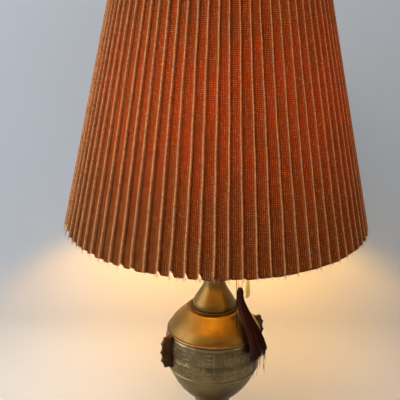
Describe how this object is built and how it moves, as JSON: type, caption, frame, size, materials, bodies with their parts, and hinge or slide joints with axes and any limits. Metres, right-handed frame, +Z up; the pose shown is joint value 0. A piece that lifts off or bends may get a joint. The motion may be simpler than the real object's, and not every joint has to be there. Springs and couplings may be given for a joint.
{
  "type": "table lamp",
  "caption": "Turned brass table lamp: banded vase with scalloped ears on a round foot, chain pulls with a silk tassel and a brass drop, and a one-way pleated cloth shade under a finial.",
  "frame": {"origin": "on the table under the middle of the foot", "axes": "+Z up along the lamp's pipe, the lamp holders along X, the front with the pulls towards -Y"},
  "size_m": [0.4318, 0.4318, 0.8131],
  "materials": {
    "aged_brass": "aged, satin, browned in the grooves",
    "bright_brass": "polished",
    "pewter_toned": "cast, pewter toned, pebbled with a low fret",
    "dark_bronze": "dark bronze patina",
    "steel": "plain plated",
    "cast_iron": "raw, dull",
    "felt": "wool felt",
    "moulding": "moulded, satin",
    "fibre": "pressed fibre paper",
    "bulb_glass": "frosted inside",
    "rust_cloth": "coarse tweed weave, pleated",
    "silk": "twisted silk floss",
    "gold_cord": "twisted two-ply cord"
  },
  "bodies": {
    "base": {"felt_pad": "felt", "foot": "aged_brass", "cord_bushing": "moulding", "foot_weight": "cast_iron", "pipe_washer": "steel", "pipe_nut": "steel", "pedestal": "aged_brass", "waist_ring": "aged_brass", "bowl": "aged_brass", "band": "pewter_toned", "lower_bead": "pewter_toned", "upper_bead": "aged_brass", "left_ear": "dark_bronze", "left_ear_nut": "steel", "right_ear": "dark_bronze", "right_ear_nut": "steel", "dome": "aged_brass", "collar_ring": "aged_brass", "neck": "aged_brass", "neck_cap": "aged_brass", "neck_nut": "bright_brass", "lamp_pipe": "steel", "riser_sleeve": "aged_brass", "switch_housing": "aged_brass", "housing_cover": "aged_brass", "tassel_switch": "moulding", "tassel_chain_guide": "bright_brass", "drop_switch": "moulding", "drop_chain_guide": "bright_brass", "left_arm": "aged_brass", "left_socket_cap": "bright_brass", "left_socket_shell": "bright_brass", "left_socket_liner": "fibre", "left_socket_body": "moulding", "left_screw_shell": "bright_brass", "right_arm": "aged_brass", "right_socket_cap": "bright_brass", "right_socket_shell": "bright_brass", "right_socket_liner": "fibre", "right_socket_body": "moulding", "right_screw_shell": "bright_brass", "riser_rod": "aged_brass", "hub_nut": "aged_brass"},
    "left_bulb": {"left_bulb_cap": "steel", "left_bulb_glass": "bulb_glass"},
    "right_bulb": {"right_bulb_cap": "steel", "right_bulb_glass": "bulb_glass"},
    "shade": {"shade_cover": "rust_cloth", "bottom_ring": "steel", "top_ring": "steel", "spider": "steel"},
    "finial": {"finial": "aged_brass"},
    "tassel_chain": {"tassel_chain": "bright_brass", "chain_coupling": "bright_brass"},
    "tassel": {"tassel_loop": "gold_cord", "tassel_head": "silk", "tassel_skirt": "silk"},
    "drop_pull": {"drop_chain": "bright_brass", "chain_drop": "bright_brass"}
  },
  "joints": [
    {"name": "shade_turn", "type": "hinge", "parent": "base", "child": "shade", "pos_m": [0, 0, 0.765], "axis": [0, 0, 1], "continuous": true},
    {"name": "finial_turn", "type": "hinge", "parent": "base", "child": "finial", "pos_m": [0, 0, 0.767], "axis": [0, 0, 1], "continuous": true},
    {"name": "left_bulb_turn", "type": "hinge", "parent": "base", "child": "left_bulb", "pos_m": [-0.043, 0, 0.5375], "axis": [-0.2588, 0, 0.9659], "continuous": true},
    {"name": "right_bulb_turn", "type": "hinge", "parent": "base", "child": "right_bulb", "pos_m": [0.043, 0, 0.5375], "axis": [0.2588, 0, 0.9659], "continuous": true},
    {"name": "tassel_pull", "type": "slide", "parent": "base", "child": "tassel_chain", "axis": [0, 0, -1], "range_m": [0, 0.007], "stiffness_N_per_m": 1200, "springref_m": -0.004},
    {"name": "tassel_swing", "type": "hinge", "parent": "tassel_chain", "child": "tassel", "pos_m": [0.0366, -0.0285, 0.36992], "axis": [-0.6144, -0.789, 0], "range_deg": [0, 6]},
    {"name": "drop_pull", "type": "slide", "parent": "base", "child": "drop_pull", "axis": [0, 0, -1], "range_m": [0, 0.007], "stiffness_N_per_m": 1200, "springref_m": -0.004}
  ],
  "couplings": [
    {"joint": "tassel_swing", "follows": "tassel_pull", "rad_per_m": 14.3}
  ]
}
